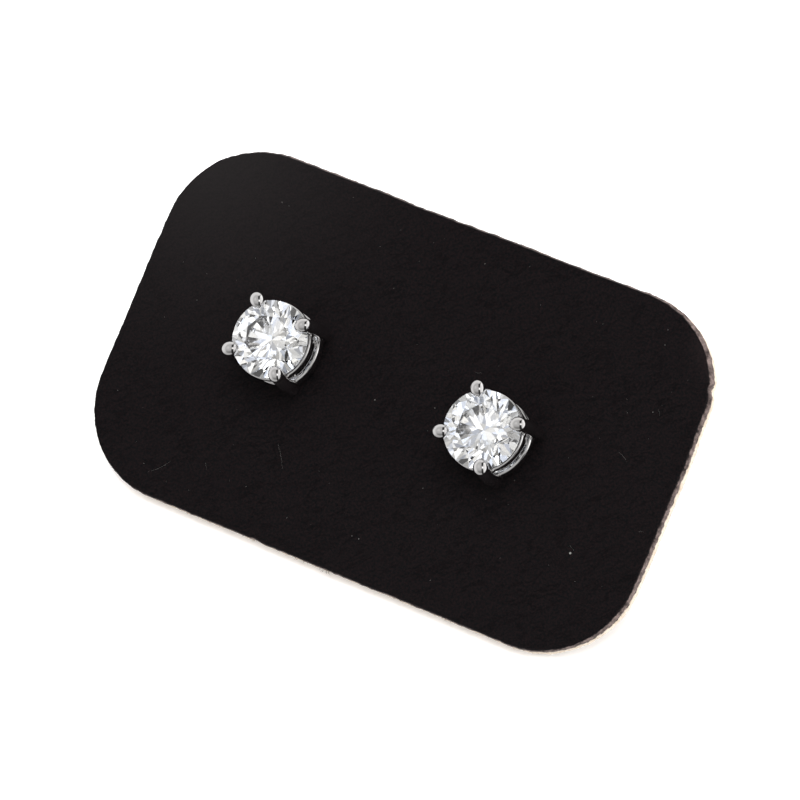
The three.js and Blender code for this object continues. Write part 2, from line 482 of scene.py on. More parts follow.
def creaseHeight(x, y):
    # low wrinkles that run in no one direction, in shares of the relief
    point = Vector((x, y, 0)) / mm
    broad = noise.noise(point * 0.45)
    ridge = 1 - abs(noise.noise(point * 1.1 + Vector((7, 3, 1)))) * 2.2
    fine = noise.noise(point * 2.6 + Vector((1, 9, 4)))
    return 0.5 * broad - 0.45 * min(max(ridge, -1), 1) + 0.35 * fine


def dentAt(x, y):
    # the leather sinks a little round each earring's feet
    total = 0
    for stud in studs:
        reach = math.hypot(x - stud["x"], y - stud["y"]) / leatherCard["dentSpread"]
        total += math.exp(-reach * reach)
    return total * leatherCard["dent"]


def flareAt(place, out, deep):
    made = leatherCard["flare"]
    layer = 1 if deep > made["from"] else 0
    near = ((place.x - made["x"]) ** 2 + (place.y - made["y"]) ** 2) / made["spread"] ** 2
    reach = made["top"][layer] * max(0, out.y) + made["right"][layer] * max(0, out.x)
    reach += made["corner"][layer] * math.exp(-near)
    return reach * min(1, deep / made["ease"])


def openHoles(bm, faces, depth):
    # drop the faces inside each post hole and round its rim; returns each hole's rim edges
    rims = []
    for stud in studs:
        centre = Vector((stud["x"], stud["y"], depth))
        gone = [f for f in faces if f.is_valid
                and (f.calc_center_median() - centre).length < leatherCard["holeRadius"]]
        goneSet = set(gone)
        rim = [e for f in gone for e in f.edges if sum(g in goneSet for g in e.link_faces) == 1]
        rimVerts = {v for e in rim for v in e.verts}
        bmesh.ops.delete(bm, geom=gone, context="FACES")
        for v in rimVerts:
            offset = v.co - centre
            offset.z = 0
            v.co = centre + offset.normalized() * leatherCard["holeRadius"]
        rims.append([e for e in rim if e.is_valid])
    return rims


def growEdge(bm, ring, outline):
    # the cut edge, loop by loop from the face down; returns its last loop
    made = leatherCard
    source = {v: v for v in outline}
    for step in made["edge"]:
        grown = bmesh.ops.extrude_edge_only(bm, edges=ring)["geom"]
        deep = step["deep"] / mm
        below = {}
        for v in grown:
            if not isinstance(v, bmesh.types.BMVert):
                continue
            above = next(e.other_vert(v) for e in v.link_edges if e.other_vert(v) in source)
            below[v] = source[above]
            place, out = outline[source[above]]
            spot = place / mm
            fray = noise.noise(spot * made["frayScale"] + Vector((0, 0, deep * made["frayDown"])))
            fuzz = noise.noise(spot * made["fuzzScale"] + Vector((0, 5, deep * made["fuzzDown"])))
            reach = step["out"] + step["fray"] * made["fray"] * (fray + made["fuzzShare"] * fuzz)
            reach += flareAt(place, out, step["deep"])
            v.co = place + out * reach
            v.co.z = -step["deep"]
        ring = [e for e in grown
                if isinstance(e, bmesh.types.BMEdge) and all(v in below for v in e.verts)]
        source = below
    return ring


def shapeRelief(bm):
    # hand-cut wobble of the whole outline, wrinkles and dents of the face, nap of the back
    made = leatherCard
    thickness = stance["thickness"]
    for v in bm.verts:
        x, y = v.co.x, v.co.y
        spot = Vector((x, y, 0)) / mm
        inside = min(cardLength / 2 - abs(x), cardWidth / 2 - abs(y))
        nearEdge = max(0, 1 - inside / made["wobbleZone"])
        wobble = noise.noise(spot * made["wobbleScale"] + Vector((3, 1, 8)))
        worn = sum(w["in"] * math.exp(-((x - w["x"]) ** 2 + (y - w["y"]) ** 2) / w["spread"] ** 2)
                   for w in made["worn"])
        v.co += outwardAt(x, y) * (wobble * made["wobble"] - worn) * nearEdge
        rim = min(1, max(0, inside / made["rimZone"]))
        if v.co.z > -0.2 * thickness:
            share = made["rimRelief"] + (1 - made["rimRelief"]) * rim
            v.co.z += creaseHeight(x, y) * made["relief"] * share - dentAt(x, y) / 2
        elif v.co.z < -0.9 * thickness:
            v.co.z += abs(noise.noise(spot * made["napScale"])) * made["nap"]


def makeCard():
    made = leatherCard
    bm = bmesh.new()
    bmesh.ops.create_grid(bm, x_segments=made["columns"], y_segments=made["rows"], size=0.5)
    for v in bm.verts:
        v.co.x, v.co.y = cornerMap(v.co.x * cardLength, v.co.y * cardWidth)
    bmesh.ops.reverse_faces(bm, faces=[f for f in bm.faces if f.normal.z < 0])
    topFaces = list(bm.faces)
    boundary = [e for e in bm.edges if e.is_boundary]
    outline = {v: (v.co.copy(), outwardAt(v.co.x, v.co.y)) for e in boundary for v in e.verts}
    # the back is a copy of the face
    back = bmesh.ops.duplicate(bm, geom=list(bm.verts) + list(bm.edges) + topFaces)
    backMap = back["vert_map"]
    backFaces = [g for g in back["geom"] if isinstance(g, bmesh.types.BMFace)]
    backBoundary = [g for g in back["geom"] if isinstance(g, bmesh.types.BMEdge) and g.is_boundary]
    for g in back["geom"]:
        if isinstance(g, bmesh.types.BMVert):
            g.co.z = -stance["thickness"]
    topRims = openHoles(bm, topFaces, 0)
    backRims = openHoles(bm, backFaces, -stance["thickness"])
    for topRim, backRim in zip(topRims, backRims):
        bmesh.ops.bridge_loops(bm, edges=topRim + backRim)
    # rims of the face and back stand a little inside the outline
    for v, (place, out) in outline.items():
        rimPlace = place - out * made["rimInset"]
        v.co.x, v.co.y = rimPlace.x, rimPlace.y
        backMap[v].co.x, backMap[v].co.y = rimPlace.x, rimPlace.y
    ring = growEdge(bm, boundary, outline)
    bmesh.ops.bridge_loops(bm, edges=ring + backBoundary)
    shapeRelief(bm)
    bmesh.ops.recalc_face_normals(bm, faces=bm.faces)
    return finishMesh(bm, "leather_card", toStand, math.radians(60))


# Brilliant cut: a cylinder of crystal cut by one plane for each facet
brilliant = {
    "radius": 2.5 * mm,
    "height": 3.55 * mm,
    "girdle": 0.12 * mm,
    "tableShare": 0.57,
    "crown": math.radians(34.5),
    "pavilion": math.radians(40.75),
    "starShare": 0.5,
    "lowerHalfShare": 0.77,
    "sides": 128,
    # painted coloured light (fire): faint cool and warm tints in the stone's colour stand in for the colours
    # a cut stone splits light into
    "paintedFireScale": 900.0,
    "paintedFireCool": (0.93, 0.96, 1.0, 1),
    "paintedFireWarm": (1.0, 0.99, 0.97, 1),
}


def polar(reach, angle, height):
    return Vector((reach * math.cos(angle), reach * math.sin(angle), height))


def facetPlanes(growth):
    cut = brilliant
    radius = cut["radius"] * growth
    half = cut["girdle"] * growth / 2
    tableReach = cut["tableShare"] * radius
    step = math.pi / 4
    culet = half + radius * math.tan(cut["pavilion"])
    starReach = tableReach + (radius - tableReach) * cut["starShare"]
    lowerReach = (1 - cut["lowerHalfShare"]) * radius
    lowerHeight = lowerReach * math.cos(step / 2) * math.tan(cut["pavilion"]) - culet

    def crownAt(reach):
        return half + (radius - reach) * math.tan(cut["crown"])

    def slope(angle, turn, up):
        # the outward normal of a main facet, up for the crown and down for the pavilion
        return polar(math.sin(angle), turn, up * math.cos(angle))

    planes = [(Vector((0, 0, crownAt(tableReach))), Vector((0, 0, 1)))]

    def addThrough(a, b, c):
        normal = (b - a).cross(c - a).normalized()
        if normal.dot(a) < 0:
            normal.negate()
        planes.append((a, normal))

    for k in range(8):
        main = k * step
        after = main + step / 2
        star = polar(starReach, after, crownAt(starReach * math.cos(step / 2)))
        junction = polar(lowerReach, after, lowerHeight)
        planes.append((polar(radius, main, half), slope(cut["crown"], main, 1)))
        planes.append((Vector((0, 0, -culet)), slope(cut["pavilion"], main, -1)))
        addThrough(star, polar(tableReach, main, crownAt(tableReach)),
                   polar(tableReach, main + step, crownAt(tableReach)))
        for side in (main, main + step):
            addThrough(star, polar(radius, side, half), polar(radius, after, half))
            addThrough(junction, polar(radius, side, -half), polar(radius, after, -half))
    return planes


def makeBrilliant(name, matrix, growth=1.0):
    cut = brilliant
    bm = bmesh.new()
    radius = cut["radius"] * growth
    bmesh.ops.create_cone(
        bm, cap_ends=True, segments=cut["sides"], radius1=radius, radius2=radius,
        depth=2.4 * cut["radius"])  # deep enough for the whole stone
    for place, normal in facetPlanes(growth):
        result = bmesh.ops.bisect_plane(
            bm, geom=list(bm.verts) + list(bm.edges) + list(bm.faces), dist=0.0001 * mm,
            plane_co=place, plane_no=normal, clear_outer=True)
        edges = [g for g in result["geom_cut"] if isinstance(g, bmesh.types.BMEdge)]
        if edges:
            bmesh.ops.contextual_create(bm, geom=edges)
    bmesh.ops.remove_doubles(bm, verts=bm.verts, dist=0.0005 * mm)
    bmesh.ops.recalc_face_normals(bm, faces=bm.faces)
    return finishMesh(bm, name, matrix)


def diamondMaterial():
    material, tree, shader = newMaterial(
        "clearStone", Roughness=0.0, IOR=2.417, Transmission_Weight=1.0)
    # painted coloured light: noise mixes a cool and a warm tint into the clear stone's colour in place of its
    # fire
    paintedFire = noiseNode(tree, cardCoords(tree), brilliant["paintedFireScale"], 1.0)
    color = mixColor(tree, rangeNode(tree, paintedFire, 0.4, 0.6), brilliant["paintedFireCool"], brilliant["paintedFireWarm"])
    link(tree, color, shader.inputs["Base Color"])
    return material


# Setting: four round wire prongs on crossed bars, two rings and the ear post
setting = {
    "wire": 0.45 * mm,
    "footReach": 2.83 * mm,
    "footGap": 0.05 * mm,
    "bend": 0.62 * mm,
    "bendSteps": 12,
    "footRise": 0.4 * mm,
    "shoulder": 2.7 * mm,
    "bow": 0.55,
    "bowEase": 0.999,
    "bowSteps": 10,
    "bead": (0.56 * mm, 0.49 * mm, 0.51 * mm),
    "beadReach": 2.48 * mm,
    "beadHeight": 4.25 * mm,
    "wireSides": 40,
    "postSides": 40,
    "beadSides": (40, 24),
    "ringSides": 144,
    "solderSides": (24, 16),
    "rings": [
        {"inner": 2.2 * mm, "outer": 2.55 * mm, "bottom": 2.6 * mm, "top": 3.15 * mm,
         "chamfer": 0.09 * mm, "solder": 0.14 * mm, "solderAt": 2.5 * mm, "spread": 0.015 * mm},
        {"inner": 2.16 * mm, "outer": 2.49 * mm, "bottom": 0.35 * mm, "top": 1.3 * mm,
         "chamfer": 0.12 * mm, "solder": 0.13 * mm, "solderAt": 2.52 * mm, "spread": 0.05 * mm},
    ],
    "chamferSlope": 0.53,
    "ringEase": 0.03 * mm,
    "innerEase": 0.055 * mm,
    "easeSteps": 4,
    "solderSide": 0.43 * mm,
    "solderRise": 0.02 * mm,
    "post": 0.4 * mm,
    "tipSteps": 8,
    "notchDepth": 0.06 * mm,
    "notchLength": 0.7 * mm,
    "notchSteps": 6,
    "notchFromTip": 1.6 * mm,
    "seatGrowth": 1.015,
    "sharpAngle": math.radians(32),
}


def wireFrame():
    # one crossed wire: up from bead to bead, through both feet and the bar between them
    made = setting
    level = made["footGap"] + made["wire"]
    inward = made["footReach"] - made["beadReach"]
    climb = made["beadHeight"] - made["shoulder"]
    leanAngle = math.atan2(inward, climb)
    top = Vector((made["beadReach"], 0, made["beadHeight"]))
    half = [(top, Vector((math.sin(leanAngle), 0, -math.cos(leanAngle))))]
    for k in range(1, made["bowSteps"] + 1):
        share = k / made["bowSteps"]
        ease = 1 - (1 - share) ** 2 * made["bowEase"]
        x = made["beadReach"] + inward * ((1 - made["bow"]) * share + made["bow"] * ease)
        half.append((Vector((x, 0, made["beadHeight"] - climb * share)), None))
    footTop = level + made["bend"] + made["footRise"]
    half.append((Vector((made["footReach"], 0, footTop)), Vector((0, 0, -1))))
    centre = Vector((made["footReach"] - made["bend"], 0, level + made["bend"]))
    for k in range(made["bendSteps"] + 1):
        angle = math.pi / 2 * k / made["bendSteps"]
        outwards = Vector((math.cos(angle), 0, -math.sin(angle)))
        half.append((centre + outwards * made["bend"], Vector((-math.sin(angle), 0, -math.cos(angle)))))
    stations = []
    for k, (point, direction) in enumerate(half):
        if direction is None:
            direction = (half[k + 1][0] - half[k - 1][0]).normalized()
        stations.append((point, direction, 1.0))
    mirrored = []
    for point, direction, share in reversed(stations):
        mirrored.append((Vector((-point.x, 0, point.z)), Vector((direction.x, 0, -direction.z)), share))
    return stations + mirrored


def makeWire(name, turn):
    bm = bmesh.new()
    sweep(bm, wireFrame(), setting["wire"], setting["wireSides"])
    return finishMesh(bm, name, Matrix.Rotation(turn, 4, "Z"))


def makeDrop(name, place, size, sides, turn):
    # a stretched ball, turned round the stud's axis
    bm = bmesh.new()
    bmesh.ops.create_uvsphere(
        bm, u_segments=sides[0], v_segments=sides[1], radius=1.0, matrix=place @ Matrix.Diagonal(size + (1,)))
    return finishMesh(bm, name, Matrix.Rotation(turn, 4, "Z"))


def makeBead(turn):
    place = Matrix.Translation((setting["beadReach"], 0, setting["beadHeight"]))
    return makeDrop("bead", place, setting["bead"], setting["beadSides"], turn)


def easedCorners(corners):
    # a closed profile whose corners (radius, height, ease) become short arcs
    profile = []
    steps = setting["easeSteps"]
    for k, (reach, height, ease) in enumerate(corners):
        here = Vector((reach, height))
        before, after = (Vector(corners[j % len(corners)][:2]) for j in (k - 1, k + 1))
        start = here + (before - here).normalized() * ease
        end = here + (after - here).normalized() * ease
        for step in range(steps + 1):
            share = step / steps
            profile.append(tuple(start.lerp(here, share).lerp(here.lerp(end, share), share)))
    return profile


def makeRing(ring):
    # a band with a bright sloped edge at the top outside and small eased corners
    bm = bmesh.new()
    ease = setting["ringEase"]
    chamfer = ring["chamfer"]
    drop = chamfer * setting["chamferSlope"]
    profile = easedCorners([
        (ring["inner"], ring["bottom"], ease), (ring["outer"], ring["bottom"], ease),
        (ring["outer"], ring["top"] - drop, ease), (ring["outer"] - chamfer, ring["top"], ease),
        (ring["inner"], ring["top"], setting["innerEase"]),
    ])
    spinProfile(bm, profile, setting["ringSides"], closed=True)
    for v in bm.verts:
        # pulled out a little toward each prong
        pull = ring["spread"] * (1 + math.cos(4 * math.atan2(v.co.y, v.co.x)))
        v.co += Vector((v.co.x, v.co.y, 0)).normalized() * pull
    return finishMesh(bm, "ring", Matrix.Identity(4))


def makeSolder(ring, turn, side):
    # a bead of solder in the corner between a ring and one side of a prong
    middle = (ring["top"] + ring["bottom"]) / 2
    tall = (ring["top"] - ring["bottom"]) / 2 + setting["solderRise"]
    place = Matrix.Translation((ring["solderAt"], side * setting["solderSide"], middle))
    size = (ring["solder"], ring["solder"], tall)
    return makeDrop("solder", place, size, setting["solderSides"], turn)


def postReach(stud):
    along = stud["y"] + cardWidth / 2
    lean = stance["lean"]
    return stance["thickness"] + along * math.tan(lean) - setting["post"] / math.cos(lean)


def makePost(stud):
    made = setting
    tip = postReach(stud)
    notch = -tip + made["notchFromTip"]
    profile = [(0, -tip - made["post"])]
    for k in range(1, made["tipSteps"] + 1):
        angle = math.pi / 2 * k / made["tipSteps"]
        profile.append((made["post"] * math.sin(angle), -tip - made["post"] * math.cos(angle)))
    for k in range(made["notchSteps"] + 1):
        share = k / made["notchSteps"]
        dip = made["notchDepth"] * math.sin(math.pi * share)
        profile.append((made["post"] - dip, notch + (share - 0.5) * made["notchLength"]))
    level = made["footGap"] + made["wire"]
    profile += [(made["post"], 0.0), (made["post"], level), (0, level)]
    bm = bmesh.new()
    spinProfile(bm, profile, made["postSides"])
    return finishMesh(bm, "post", Matrix.Identity(4))


def makeSetting(stud):
    name = "prong_setting_" + stud["side"]
    piece = makeWire(name, 0)
    boolean(piece, makeWire("crossWire", math.pi / 2), "UNION")
    turns = [k * math.pi / 2 for k in range(4)]
    for turn in turns:
        boolean(piece, makeBead(turn), "UNION")
    for ring in setting["rings"]:
        boolean(piece, makeRing(ring), "UNION")
        for turn in turns:
            for side in (-1, 1):
                boolean(piece, makeSolder(ring, turn, side), "UNION")
    boolean(piece, makePost(stud), "UNION")
    seat = makeBrilliant("seat", Matrix.Translation((0, 0, brilliant["height"])), setting["seatGrowth"])
    boolean(piece, seat, "DIFFERENCE")
    piece.data.transform(toStand @ studMatrix(stud))
    piece.data.shade_smooth()
    piece.data.set_sharp_from_angle(angle=setting["sharpAngle"])
    return piece


# Polished white metal, the clutches a little duller than the settings
polishedMetal = {
    "setting": {"name": "whiteMetal", "tone": (0.81, 0.80, 0.795), "roughness": 0.02},
    "clutch": {"name": "clutchMetal", "tone": (0.82, 0.81, 0.79), "roughness": 0.12},
    "wornShare": 0.93,
    "wornRoughness": 0.03,
    "wearScale": 1600.0,
    "polishScale": 14000.0,
    "polishStretch": 0.2,
    "polishShare": 0.03,
    "rippleScale": 2200.0,
    "bump": 0.04,
    "bumpHeight": 0.02 * mm,
}


def metalMaterial(kind):
    look = polishedMetal
    metal = look[kind]
    tone, roughness = metal["tone"], metal["roughness"]
    material, tree, shader = newMaterial(metal["name"], Metallic=1.0)
    place = cardCoords(tree)
    wear = noiseNode(tree, place, look["wearScale"], 3.0, 0.6)
    worn = tuple(c * look["wornShare"] for c in tone)
    toned = mixColor(tree, rangeNode(tree, wear, 0.35, 0.7), tone + (1,), worn + (1,))
    link(tree, toned, shader.inputs["Base Color"])
    dull = rangeNode(tree, wear, 0.3, 0.75, roughness, roughness + look["wornRoughness"])
    link(tree, dull, shader.inputs["Roughness"])
    stretch = node(tree, "ShaderNodeMapping", Scale=(1, 1, look["polishStretch"]))
    link(tree, place, stretch.inputs["Vector"])
    polish = noiseNode(tree, stretch.outputs["Vector"], look["polishScale"])
    ripple = noiseNode(tree, place, look["rippleScale"], 1.0)
    total = mathNode(tree, "ADD", mathNode(tree, "MULTIPLY", polish, look["polishShare"]), ripple)
    bumpNode(tree, total, look["bump"], look["bumpHeight"], shader)
    return material


# Clutch: flange, neck and barrel, turned in one piece
clutch = {
    "gap": 0.05 * mm,
    "bore": 0.45 * mm,
    "flange": 2.7 * mm,
    "flangeThick": 0.5 * mm,
    "neck": 1.45 * mm,
    "neckLength": 0.9 * mm,
    "barrel": 2.0 * mm,
    "length": 4.6 * mm,
    "rounding": 0.5 * mm,
    "ease": 0.16 * mm,
    "mouth": 0.12 * mm,
    "grooves": (2.0 * mm, 2.35 * mm),
    "grooveDepth": 0.05 * mm,
    "grooveWidth": 0.16 * mm,
    "cornerSteps": 5,
    "sides": 96,
}


def makeClutch(stud):
    made = clutch
    ease, neck, barrel = made["ease"], made["neck"], made["barrel"]
    neckStart = made["flangeThick"]
    neckEnd = neckStart + made["neckLength"]
    slant = made["grooveDepth"]
    # the wall from the bore's mouth out and down: (radius, depth below the card)
    wall = [(made["bore"], 0)]

    def corner(reach, deep, size, begin):
        # a quarter round between two walls; begin is its first angle
        for k in range(made["cornerSteps"] + 1):
            angle = begin - math.pi / 2 * k / made["cornerSteps"]
            wall.append((reach + size * math.cos(angle), deep - size * math.sin(angle)))

    corner(made["flange"] - ease, ease, ease, math.pi / 2)
    corner(made["flange"] - ease, neckStart - ease, ease, 0)
    wall.extend([(neck + ease, neckStart), (neck + ease * 0.3, neckStart + ease * 0.3),
                 (neck, neckStart + ease), (neck, neckEnd - ease),
                 (neck + ease * 0.3, neckEnd - ease * 0.3), (neck + ease, neckEnd)])
    corner(barrel - ease, neckEnd + ease, ease, math.pi / 2)
    for groove in made["grooves"]:
        wall.extend([(barrel, groove), (barrel - slant, groove + slant),
                     (barrel - slant, groove + made["grooveWidth"] - slant),
                     (barrel, groove + made["grooveWidth"])])
    corner(barrel - made["rounding"], made["length"] - made["rounding"], made["rounding"], 0)
    wall.extend([(made["bore"] + made["mouth"], made["length"]),
                 (made["bore"], made["length"] - made["mouth"])])
    top = -stance["thickness"] - made["gap"]
    bm = bmesh.new()
    spinProfile(bm, [(reach, top - deep) for reach, deep in wall], made["sides"], closed=True)
    return finishMesh(bm, "ear_clutch_" + stud["side"], toStand @ studMatrix(stud), math.radians(40))


# Loose fibres along the cut edge, hairs and dust on the face
fibres = {
    "sides": 3,
    "edgeCount": 1500,
    "edgeLength": (0.09 * mm, 0.22 * mm),
    "edgeRoot": 0.05 * mm,
    "tuftRoot": 0.08 * mm,
    "thick": (0.006 * mm, 0.013 * mm),
    # a dark fringe from the upper layers and a pale one from the backing: their depths in mm
    "fringes": {
        "dark": {"name": "dark_edge_fibres", "seed": 3, "deep": (0.15, 0.5), "tuftDeep": (0.1, 0.5)},
        "tan": {"name": "pale_edge_fibres", "seed": 5, "deep": (0.75, 1.4), "tuftDeep": (0.5, 1.2)},
    },
    # tufts: place along the edge, how many, how long
    "tufts": {
        "dark": [
            {"x": 1.8 * mm, "y": 11.8 * mm, "count": 14, "length": 0.34 * mm, "spread": 0.35 * mm},
            {"x": 3.7 * mm, "y": 11.8 * mm, "count": 22, "length": 0.42 * mm, "spread": 0.5 * mm},
            {"x": 5.3 * mm, "y": 11.8 * mm, "count": 10, "length": 0.3 * mm, "spread": 0.3 * mm},
            {"x": -1.6 * mm, "y": -11.8 * mm, "count": 26, "length": 0.38 * mm, "spread": 0.5 * mm},
            {"x": 0.1 * mm, "y": -11.8 * mm, "count": 34, "length": 0.45 * mm, "spread": 0.6 * mm},
            {"x": -5.1 * mm, "y": -11.8 * mm, "count": 10, "length": 0.3 * mm, "spread": 0.2 * mm},
            {"x": 3.1 * mm, "y": -11.8 * mm, "count": 7, "length": 0.22 * mm, "spread": 0.15 * mm},
        ],
        "tan": [
            {"x": 18.3 * mm, "y": 8.3 * mm, "count": 22, "length": 0.4 * mm, "spread": 0.4 * mm},
            {"x": 18.7 * mm, "y": 7.4 * mm, "count": 30, "length": 0.45 * mm, "spread": 0.35 * mm},
        ],
    },
    # hairs lying on the face: centre, heading, length, bend
    "hairs": [
        {"x": -12.9 * mm, "y": -9.85 * mm, "heading": 0.72, "length": 1.75 * mm, "bend": -0.5},
        {"x": -5.6 * mm, "y": -6.25 * mm, "heading": -0.93, "length": 1.7 * mm, "bend": 0.25},
        {"x": -10.0 * mm, "y": -8.65 * mm, "heading": -0.95, "length": 0.5 * mm, "bend": 0.2},
        {"x": 4.5 * mm, "y": 3.3 * mm, "heading": 0.2, "length": 0.5 * mm, "bend": -0.9},
        {"x": 16.4 * mm, "y": 5.1 * mm, "heading": -0.9, "length": 0.4 * mm, "bend": 0.6},
        {"x": 15.35 * mm, "y": 1.72 * mm, "heading": -0.42, "length": 0.95 * mm, "bend": 0.4},
        {"x": 14.55 * mm, "y": -4.75 * mm, "heading": -0.4, "length": 0.5 * mm, "bend": 0.3},
        {"x": 18.3 * mm, "y": -2.2 * mm, "heading": 0.3, "length": 0.4 * mm, "bend": 0.8},
    ],
    "hairSteps": 9,
    "hairThick": 0.0032 * mm,
    "hairLift": 0.035 * mm,
    # larger specks in mm, and fine dust strewn over the rest of the face
    "specks": [
        (-3.58, -9.75), (0.91, -9.24), (1.41, -9.25), (2.72, 0.21), (14.88, 10.11), (15.07, 9.17),
        (17.31, 7.64), (16.02, 4.99), (2.09, 9.86), (-1.19, -0.72), (-12.4, 4.9),
    ],
    "speckSize": (0.022 * mm, 0.036 * mm),
    "dustSeed": 11,
    "dustCount": 70,
    "dustSize": (0.008 * mm, 0.022 * mm),
    "dustReach": 0.46,
    "dustLift": 0.02 * mm,
    "noiseScale": 3000.0,
    "tones": {
        "darkFibre": [(0.04, 0.03, 0.026, 1), (0.15, 0.115, 0.098, 1)],
        "tanFibre": [(0.62, 0.50, 0.33, 1), (0.42, 0.31, 0.16, 1)],
        "dustTone": [(0.26, 0.25, 0.24, 1), (0.15, 0.15, 0.14, 1)],
    },
}


def hairStations(start, heading, length, bend, lift, taper=True, steps=3):
    # a bent hair; a loose one thins toward its tip, one lying flat toward both ends
    stations = []
    point = start.copy()
    direction = heading.normalized()
    side = direction.cross(Vector((0, 0, 1)))
    side = side.normalized() if side.length > 0.01 else Vector((1, 0, 0))
    for k in range(steps + 1):
        share = k / steps
        turned = (direction + side * bend * (share - 0.3) + Vector((0, 0, lift * share))).normalized()
        size = 1 - 0.7 * share if taper else 1 - 0.5 * abs(2 * share - 1)
        stations.append((point.copy(), turned, size))
        point += turned * length / steps
    return stations


def edgePoint(along):
    # a point on the outline, by its share of the way round, and its outward direction
    radius = leatherCard["cornerRadius"]
    flatX = cardLength - 2 * radius
    flatY = cardWidth - 2 * radius
    quarter = math.pi / 2 * radius
    distance = along % 1 * (2 * flatX + 2 * flatY + 4 * quarter)
    corner = Vector((flatX / 2, flatY / 2, 0))
    for k in range(4):
        flat = flatY if k % 2 == 0 else flatX
        turn = k * math.pi / 2
        out, run = polar(1, turn, 0), polar(1, turn + math.pi / 2, 0)
        ahead = out + run
        centre = Vector((math.copysign(corner.x, ahead.x), math.copysign(corner.y, ahead.y), 0))
        if distance < flat:
            return centre + out * radius - run * (flat - distance), out
        distance -= flat
        if distance < quarter:
            turned = polar(1, turn + distance / radius, 0)
            return centre + turned * radius, turned
        distance -= quarter
    return Vector((cardLength / 2, 0, 0)), Vector((1, 0, 0))


def addHair(bm, stations, thick):
    part = bmesh.new()
    sweep(part, stations, thick, fibres["sides"])
    mesh = bpy.data.meshes.new("hair")
    part.to_mesh(mesh)
    part.free()
    bm.from_mesh(mesh)
    bpy.data.meshes.remove(mesh)


def makeFringe(tone):
    fringe = fibres["fringes"][tone]
    rng = random.Random(fringe["seed"])
    bm = bmesh.new()

    def either(share):
        return rng.uniform(-share, share)

    for _ in range(fibres["edgeCount"]):
        place, out = edgePoint(rng.random())
        deep = rng.uniform(*fringe["deep"])
        start = place - out * fibres["edgeRoot"] + Vector((0, 0, -deep * mm))
        heading = out + Vector((either(0.9), either(0.9), either(0.5)))
        length = rng.uniform(*fibres["edgeLength"])
        stations = hairStations(start, heading, length, either(1), either(0.4))
        addHair(bm, stations, rng.uniform(*fibres["thick"]))
    for tuft in fibres["tufts"][tone]:
        out = outwardAt(tuft["x"], tuft["y"])
        along = Vector((-out.y, out.x, 0))
        for _ in range(tuft["count"]):
            deep = rng.uniform(*fringe["tuftDeep"])
            start = Vector((tuft["x"], tuft["y"], -deep * mm)) - out * fibres["tuftRoot"]
            start += along * rng.gauss(0, 0.5) * tuft["spread"]
            heading = out + along * either(0.8) + Vector((0, 0, rng.uniform(-0.2, 0.6)))
            length = tuft["length"] * rng.uniform(0.4, 1.0)
            stations = hairStations(start, heading, length, either(1.4), rng.uniform(-0.3, 0.5))
            addHair(bm, stations, rng.uniform(*fibres["thick"]))
    return finishMesh(bm, fringe["name"], toStand, math.radians(60))


def makeHairs():
    made = fibres
    bm = bmesh.new()
    for hair in made["hairs"]:
        heading = Vector((math.cos(hair["heading"]), math.sin(hair["heading"]), 0))
        start = Vector((hair["x"], hair["y"], made["hairLift"])) - heading * hair["length"] / 2
        stations = hairStations(start, heading, hair["length"], hair["bend"], 0.0, False, made["hairSteps"])
        addHair(bm, stations, made["hairThick"])
    rng = random.Random(made["dustSeed"])
    spots = [(Vector((x, y, 0)) * mm, rng.uniform(*made["speckSize"])) for x, y in made["specks"]]
    reach = made["dustReach"]
    for _ in range(made["dustCount"]):
        spot = Vector((rng.uniform(-reach, reach) * cardLength, rng.uniform(-reach, reach) * cardWidth, 0))
        spots.append((spot, rng.uniform(*made["dustSize"])))
    for spot, size in spots:
        spot.z = made["dustLift"]
        turn = Matrix.Rotation(rng.uniform(0, 3), 4, "Z")
        shape = Matrix.Diagonal((1.0, rng.uniform(0.4, 1.0), 0.35, 1))
        bmesh.ops.create_icosphere(
            bm, subdivisions=1, radius=size, matrix=Matrix.Translation(spot) @ turn @ shape)
    return finishMesh(bm, "dust_and_hairs", toStand, math.radians(60))


def fibreMaterial(name):
    material, tree, shader = newMaterial(name, Roughness=0.85, Specular_IOR_Level=0.3)
    vary = noiseNode(tree, cardCoords(tree), fibres["noiseScale"])
    toned = mixColor(tree, rangeNode(tree, vary, 0.35, 0.65), *fibres["tones"][name])
    link(tree, toned, shader.inputs["Base Color"])
    return material


# Studio: pale floor, a soft light tent and the camera at the photo's angle
studio = {
    "azimuth": 28.57,
    "elevation": 46.99,
    "distance": 0.29149,
    "lens": 207.3,
    "sensor": 36.0,
    "shiftX": 0.00519,
    "shiftY": -0.00497,
    "floor": 1.6,
    "floorTones": [(0.93, 0.93, 0.93, 1), (0.96, 0.96, 0.96, 1)],
    "floorGlow": 0.17,
    "glowTone": (0.97, 0.985, 1.0, 1),
    "lamp": {"azimuth": 20, "elevation": 74, "away": 0.7, "size": 0.5, "power": 5.0},
    # the tent's tones, and the dark slit to the right of the camera
    "tentGrey": 0.76,
    "tentLeft": 0.14,
    "tentRight": 2.4,
    "tentTop": 0.35,
    "slit": 0.02,
    "slitThrough": 0.42,
    # where the slit's two lengths and the bright gap between them fade in and out: sines of the
    # angles to the camera's right and up
    "slitAcross": (0.20, 0.27, 0.57, 0.64),
    "slitUpper": (0.24, 0.32, 0.80, 0.88),
    "slitLower": (-0.99, -0.93, -0.26, -0.19),
    "gapAcross": (0.34, 0.42, 0.62, 0.68),
    "gapUp": (-0.20, -0.12, 0.12, 0.20),
    # what the metal mirrors: dimmer round the camera and below, brighter to the right
    "mirrorCentre": 0.54,
    "mirrorEdge": 0.82,
    "mirrorBelow": -0.34,
    "mirrorRight": 0.36,
    "glint": 1.45,
    # fine folds in the tent's cloth: too small to see in a bead, but each facet picks one out
    "foldScale": 7.5,
    "folds": (0.66, 2.0),
    "coolTone": (0.86, 0.91, 1.04, 1),
    "warmTone": (1.0, 0.985, 0.955, 1),
    "clothTone": (1.0, 0.99, 0.985, 1),
}


